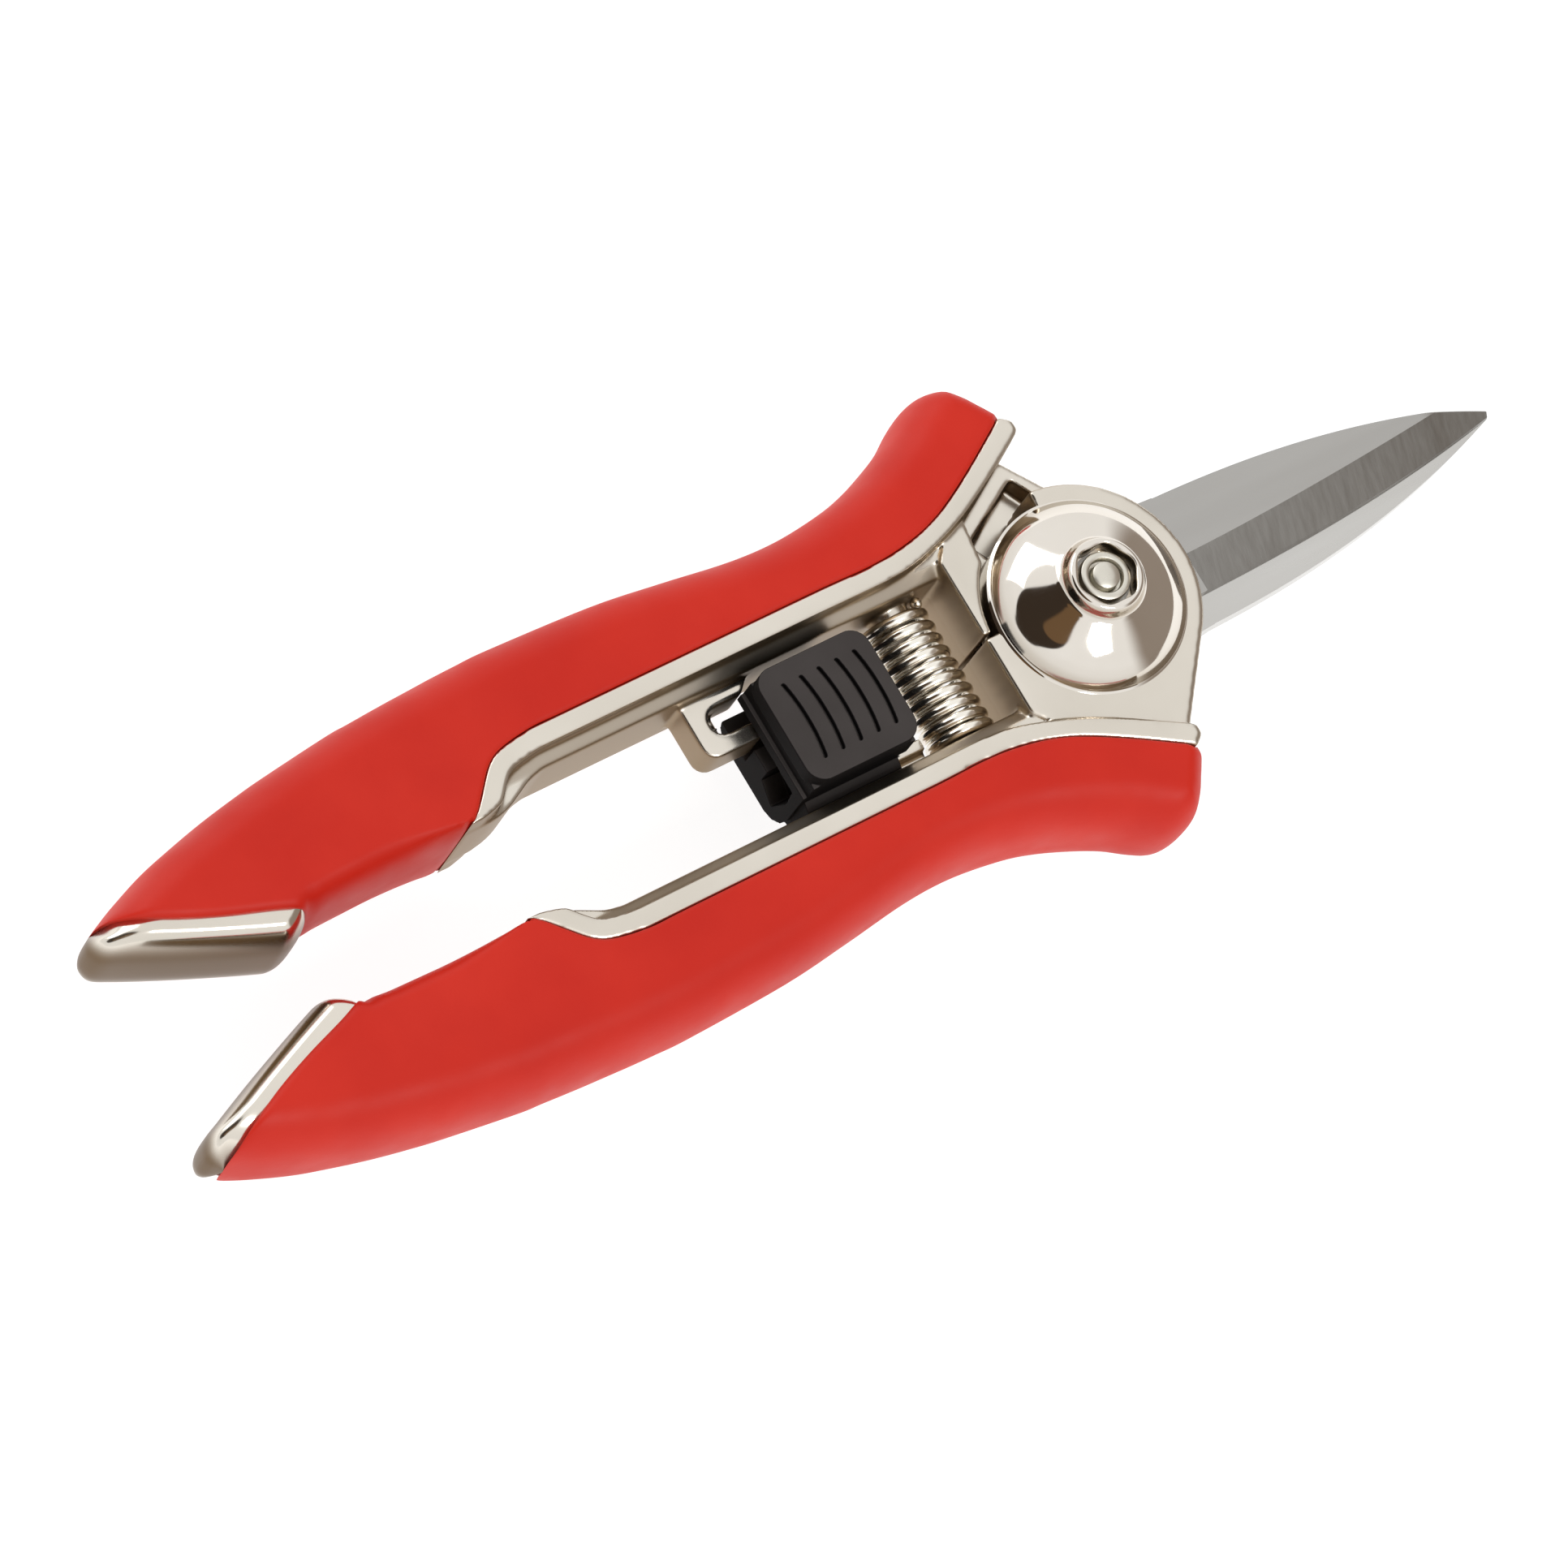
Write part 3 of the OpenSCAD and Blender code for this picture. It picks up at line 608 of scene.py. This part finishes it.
def blade_skin(node):
    """The CAD tang as far as the head's front, with a finely ground blade grown out of it."""
    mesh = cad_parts[node].data
    verts = points_of(mesh) / MM
    if node == "blade_a":
        verts = turned_over(verts, 0.0)
    head_front = 14.4
    beyond = prism(oblong(head_front, 70, -20, 20), MID_Z - 5, MID_Z + 8)
    tang = cut(scratch(*clean_mesh(verts, faces_of(mesh))), [beyond])
    steps = np.concatenate([np.linspace(0, 0.9, 46), np.linspace(0.915, 1, 14)])
    rings = [blade_ring(t) for t in steps]
    points = [point for ring in rings for point in ring]
    blade = clean_mesh(points, tube_faces(len(rings), len(rings[0])))
    whole = evaluated(cut(tang, [blade], "UNION"))
    verts = points_of(whole)
    if node == "blade_a":
        verts = turned_over(verts, 0.0)
    kinds = []
    for p in whole.polygons:
        n = p.normal
        ground = 0.05 < abs(n.y) and 0.3 < abs(n.z) < 0.995
        kinds.append(1 if ground and p.center.x > BLADE_ROOT else 0)
    return verts, faces_of(whole), kinds


# ---------------------------------------------------------------- spring

def spring_skin():
    """Compression spring along Y with closed end coils."""
    turns, sides, steps_a_turn = 10.0, 14, 40
    wire_r, coil_r = 0.62, 3.27
    axis_x, first_angle = -17.9, 0.6
    half_gap, clear, closed = 8.0, 0.04, 1.32
    reach = half_gap - wire_r - clear
    steps = int(turns * steps_a_turn)
    key_t = [0, 1.0 / turns, 1 - 1.0 / turns, 1]
    key_y = [-reach, -reach + closed, reach - closed, reach]
    verts = []
    for i in range(steps + 1):
        t = i / steps
        a = 2 * math.pi * turns * t + first_angle
        x = axis_x + coil_r * math.cos(a)
        y = MID_Y + float(np.interp(t, key_t, key_y))
        z = MID_Z + coil_r * math.sin(a)
        for k in range(sides):
            b = 2 * math.pi * k / sides
            off = wire_r * math.cos(b)
            verts.append((x + off * math.cos(a), y + wire_r * math.sin(b), z + off * math.sin(a)))
    return clean_mesh(verts, tube_faces(steps + 1, sides))


# ---------------------------------------------------------------- slider

def rounded_rect(x0, x1, y0, y1, r):
    """Outline of a rectangle with round corners of radius r."""
    steps = 8
    corners = ((x1 - r, y1 - r, 0), (x0 + r, y1 - r, 90), (x0 + r, y0 + r, 180), (x1 - r, y0 + r, 270))
    points = []
    for cx, cy, first in corners:
        for k in range(steps + 1):
            a = math.radians(first + 90 * k / steps)
            points.append((cx + r * math.cos(a), cy + r * math.sin(a)))
    return points


def section(points, x0, x1):
    """Closed prism along X over (y, z) points, whose y counts from MID_Y and z from MID_Z."""
    verts, faces = prism([(MID_Y + y, MID_Z + z) for y, z in points], x0, x1)
    return [(z, x, y) for x, y, z in verts], faces


def groove(mid_x):
    """Cutter for one bowed groove across the thumb plate."""
    half_l, half_w, bow = 4.4, 0.2, 0.45
    middle = []
    for k in range(13):
        y = -half_l + 2 * half_l * k / 12
        middle.append((mid_x + bow * (1 - (y / half_l) ** 2), MID_Y + y))
    outline = [(x - half_w, y) for x, y in middle] + [(x + half_w, y) for x, y in middle[::-1]]
    return prism(outline, MID_Z + HALF_T + 0.3, MID_Z + HALF_T + 3)


def slider_skin():
    """Thumb plate with bowed grooves on a block with the hook's mouth and the rail's channel."""
    x0, x1 = -38.8, -25.1
    back, front = x0 + 0.5, x0 + 12.2
    low = -5.2
    plate = [(x, MID_Y + y) for x, y in rounded_rect(x0 + 0.15, x1, -6.55, 6.55, 2.1)]
    plate = prism(plate, MID_Z + HALF_T - 1.2, MID_Z + HALF_T + 1.0)
    upper = section(oblong(-6.5, 6.2, 3.3, 6.6), back, x0 + 13.2)
    belly = [(-6.5, 4.3), (-6.5, low + 3.4), (-6.1, low + 1.7), (-5.1, low + 0.5), (-3.8, low),
             (3.0, low), (4.6, low + 0.3), (5.7, low + 1.3), (6.1, low + 2.8), (6.1, 4.3)]
    lower = section(belly, x0, front)
    lips = section([(-7.7, 2.6), (-6.0, 3.3), (-6.0, -3.4), (-7.7, -3.0)], back, front)
    # The hook's mouth, the slot beside it, and the T-shaped channel with the leaf's pocket
    mouth = section(oblong(1.2, 9, -2.8, 2.9), x0 - 1, x0 + 3.0)
    slot = [(-5.0, 2.8), (-5.3, 0.2), (-4.2, -3.1), (-1.5, -1.7), (-1.5, 2.8)]
    slot_wide = section(slot, x0 - 1, x0 + 2.4)
    slot_neck = section(oblong(-2.6, 1.6, 0.3, 2.9), x0 - 1, x0 + 2.0)
    channel_neck = section(oblong(-9, -6.8, -1.36, 1.36), x0 + 0.9, x1 + 5)
    channel_head = section(oblong(-7.06, -5.54, -2.46, 2.46), x0 + 0.9, x1 + 5)
    pocket = section(oblong(-5.8, -4.5, -1.6, 1.6), -36.0, -28.0)
    holes = [mouth, slot_wide, slot_neck, channel_neck, channel_head, pocket]
    groove_pitch = 2.2
    grooves = [groove(x0 + 2.75 + groove_pitch * i) for i in range(5)]
    obj = cut(scratch(*plate), [upper, lower, lips], "UNION")
    mesh = softened(cut(obj, holes + grooves), FINE_VOXEL, rounds=4)
    mesh.vertices.foreach_set("co", (points_of(mesh) * MM).ravel())
    return mesh


# ---------------------------------------------------------------- nut and bolt

def nut_skin():
    """Round nut with a rolled rim, and a counterbore round the bolt's end."""
    bore = 1.53
    top = 24.6 - MID_Z
    seat = 23.0 - MID_Z
    profile = [(bore, seat), (2.72, seat), (2.72, top - 0.3), (2.64, top - 0.1), (2.45, top), (2.1, top)]
    profile += [(1.95, top - 0.06), (1.86, top - 0.25), (1.84, top - 0.9), (bore, top - 0.95)]
    return clean_mesh(*lathe(profile, 96))


def bolt_skin():
    """Flat round head below, a smooth shank, and a threaded end with a domed tip."""
    base = -MID_Z
    head_r, shank_r, root_r, crest_r = 2.74, 2.59, 1.38, 1.5
    thread_from = 22.5 - MID_Z
    thread_to = 24.55 - MID_Z
    pitch = 0.35
    profile = [(0.0, base + 0.35), (1.0, base + 0.35), (1.15, base + 0.2), (1.3, base + 0.03)]
    profile += [(2.45, base + 0.03), (2.66, base + 0.12), (head_r, base + 0.32), (head_r, base + 2.1)]
    profile += [(shank_r, base + 2.1), (shank_r, thread_from)]
    z = thread_from
    while z < thread_to - 0.3:
        profile += [(root_r, z + 0.05), (crest_r, z + 0.2)]
        z += pitch
    profile += [(crest_r, thread_to), (1.44, thread_to + 0.14), (1.2, thread_to + 0.26)]
    profile += [(0.7, thread_to + 0.34), (0.0, thread_to + 0.37)]
    return clean_mesh(*lathe(profile, 72))


# ---------------------------------------------------------------- assembly

set_camera()
paint = make_materials()

HANDLES = (("b", FIXED, False), ("a", MOVING, True))
for side, body, flip in HANDLES:
    casting = f"handle_{side}"
    mesh = casting_skin(casting, flip)
    finish_piece(f"casting_{side}", mesh, body, [paint["plate"]], [casting])
    # The lower dome holds the bush, so its bore is wider, and it is made where turning over puts it right
    bore, pivot_y = (3.12, 2 * MID_Y) if flip else (2.64, 0.0)
    shapes = (("soft_grip", grip_skin(), "soft_grip", "grip", [f"grip_{side}"]),
              ("metal_end", toe_skin(), "plated_metal", "cap", []),
              ("pivot_dome", dome_skin(bore, pivot_y), "plated_metal", "mirror", []))
    for label, (verts, faces), slot, look, stands_for in shapes:
        if flip:
            verts = turned_over(verts)
        add_piece(f"{label}_{side}", verts, faces, body, [paint[look]], stands_for, sharp=50)
    verts, faces, kinds = blade_skin(f"blade_{side}")
    # The lower blade takes the lighter copy of the steel, which is painted light
    looks = [paint["lit_blade" if flip else "blade"], paint["bevel"]]
    add_piece(f"ground_blade_{side}", verts, faces, body, looks, [f"blade_{side}"],
              sharp=12, face_mats=kinds)

verts, faces = spring_skin()
stands_for = ["return_spring"]
spring = add_piece("coil_spring", verts, faces, None, [paint["spring"]], stands_for)
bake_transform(spring)

finish_piece("thumb_slider", slider_skin(), LOCK, [paint["plastic"]], ["lock_slider"])
for label, (verts, faces), node in (("round_nut", nut_skin(), "pivot_nut"),
                                    ("turned_bolt", bolt_skin(), "pivot_bolt")):
    add_piece(label, verts, faces, FIXED, [paint["bolt"]], [node], sharp=30)

# Small CAD solids that are carried over as they are, and their finishes
CARRIED = {"blade_rivets_a": "plain", "blade_rivets_b": "plain", "nut_washer": "plain",
           "head_washer": "plain", "pivot_bush": "bronze", "blade_shim": "bronze",
           "detent_leaf": "spring"}
for node, key in CARRIED.items():
    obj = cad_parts[node]
    if not obj.material_slots:
        obj.data.materials.append(paint[key])
    for held in obj.material_slots:
        held.material = paint[key]


# ---------------------------------------------------------------- studio

# What the polished metal mirrors in the white surround: a grey-brown side, a dark brown patch and a
# lighter brown spot. Each has its direction, the cosines of the angle from that direction at which it
# starts and is full, and its colour.
PATCHES = [((0.951, -0.255, 0.174), 0.60, 0.80, (0.33, 0.28, 0.24, 1)),
           ((-0.636, 0.09, 0.766), 0.868, 0.882, (0.045, 0.032, 0.023, 1)),
           ((-0.47, -0.16, 0.87), 0.975, 0.985, (0.17, 0.10, 0.05, 1))]


def world_light():
    """White studio surround with the patches on it."""
    world = bpy.data.worlds.new("studio")
    bpy.context.scene.world = world
    world.use_nodes = True
    nodes, links = world.node_tree.nodes, world.node_tree.links
    coord = nodes.new("ShaderNodeTexCoord")
    last = None
    for direction, start, end, tint in PATCHES:
        dot = nodes.new("ShaderNodeVectorMath")
        dot.operation = "DOT_PRODUCT"
        dot.inputs[1].default_value = Vector(direction).normalized()
        links.new(coord.outputs["Generated"], dot.inputs[0])
        mix = nodes.new("ShaderNodeMix")
        mix.data_type = "RGBA"
        links.new(mapped(nodes, links, dot.outputs["Value"], start, end), mix.inputs["Factor"])
        mix.inputs["A"].default_value = (1, 1, 1, 1)
        mix.inputs["B"].default_value = tint
        if last:
            links.new(last, mix.inputs["A"])
        last = mix.outputs["Result"]
    shade = nodes["Background"]
    links.new(last, shade.inputs["Color"])
    shade.inputs["Strength"].default_value = 1.0


def soft_light(name, place, size, power):
    """Rectangular lamp that looks at the middle of the snips."""
    target = Vector((-0.03, 0.0, 0.0125))
    data = bpy.data.lights.new(name, "AREA")
    data.shape = "RECTANGLE"
    data.size, data.size_y = size
    data.energy = power
    lamp = bpy.data.objects.new(name, data)
    lamp.location = place
    lamp.rotation_euler = (target - Vector(place)).to_track_quat("-Z", "Y").to_euler()
    bpy.context.scene.collection.objects.link(lamp)


def pale_floor():
    """Matt floor just under the snips, which glows a little so that it comes out white."""
    half, height = 3, -0.0004
    mesh = bpy.data.meshes.new("floor")
    corners = [(x, y, height) for x, y in oblong(-half, half, -half, half)]
    mesh.from_pydata(corners, [], [(0, 1, 2, 3)])
    floor = bpy.data.objects.new("floor", mesh)
    bpy.context.scene.collection.objects.link(floor)
    pale = surface("pale_floor", (0.24, 0.24, 0.24), (0.26, 0.26, 0.26), (0.7, 0.8), 0.0, 3, 400, 0.002)
    shader = pale.node_tree.nodes["Principled BSDF"]
    shader.inputs["Emission Color"].default_value = (1, 1, 1, 1)
    shader.inputs["Emission Strength"].default_value = 0.9
    mesh.materials.append(pale)


world_light()
soft_light("window", (0.0, -0.50, 0.76), (0.25, 0.25), 2.2)
soft_light("overhead", (-0.25, 0.80, 0.50), (0.6, 0.5), 2.0)
pale_floor()
bpy.context.scene.view_settings.view_transform = "Standard"
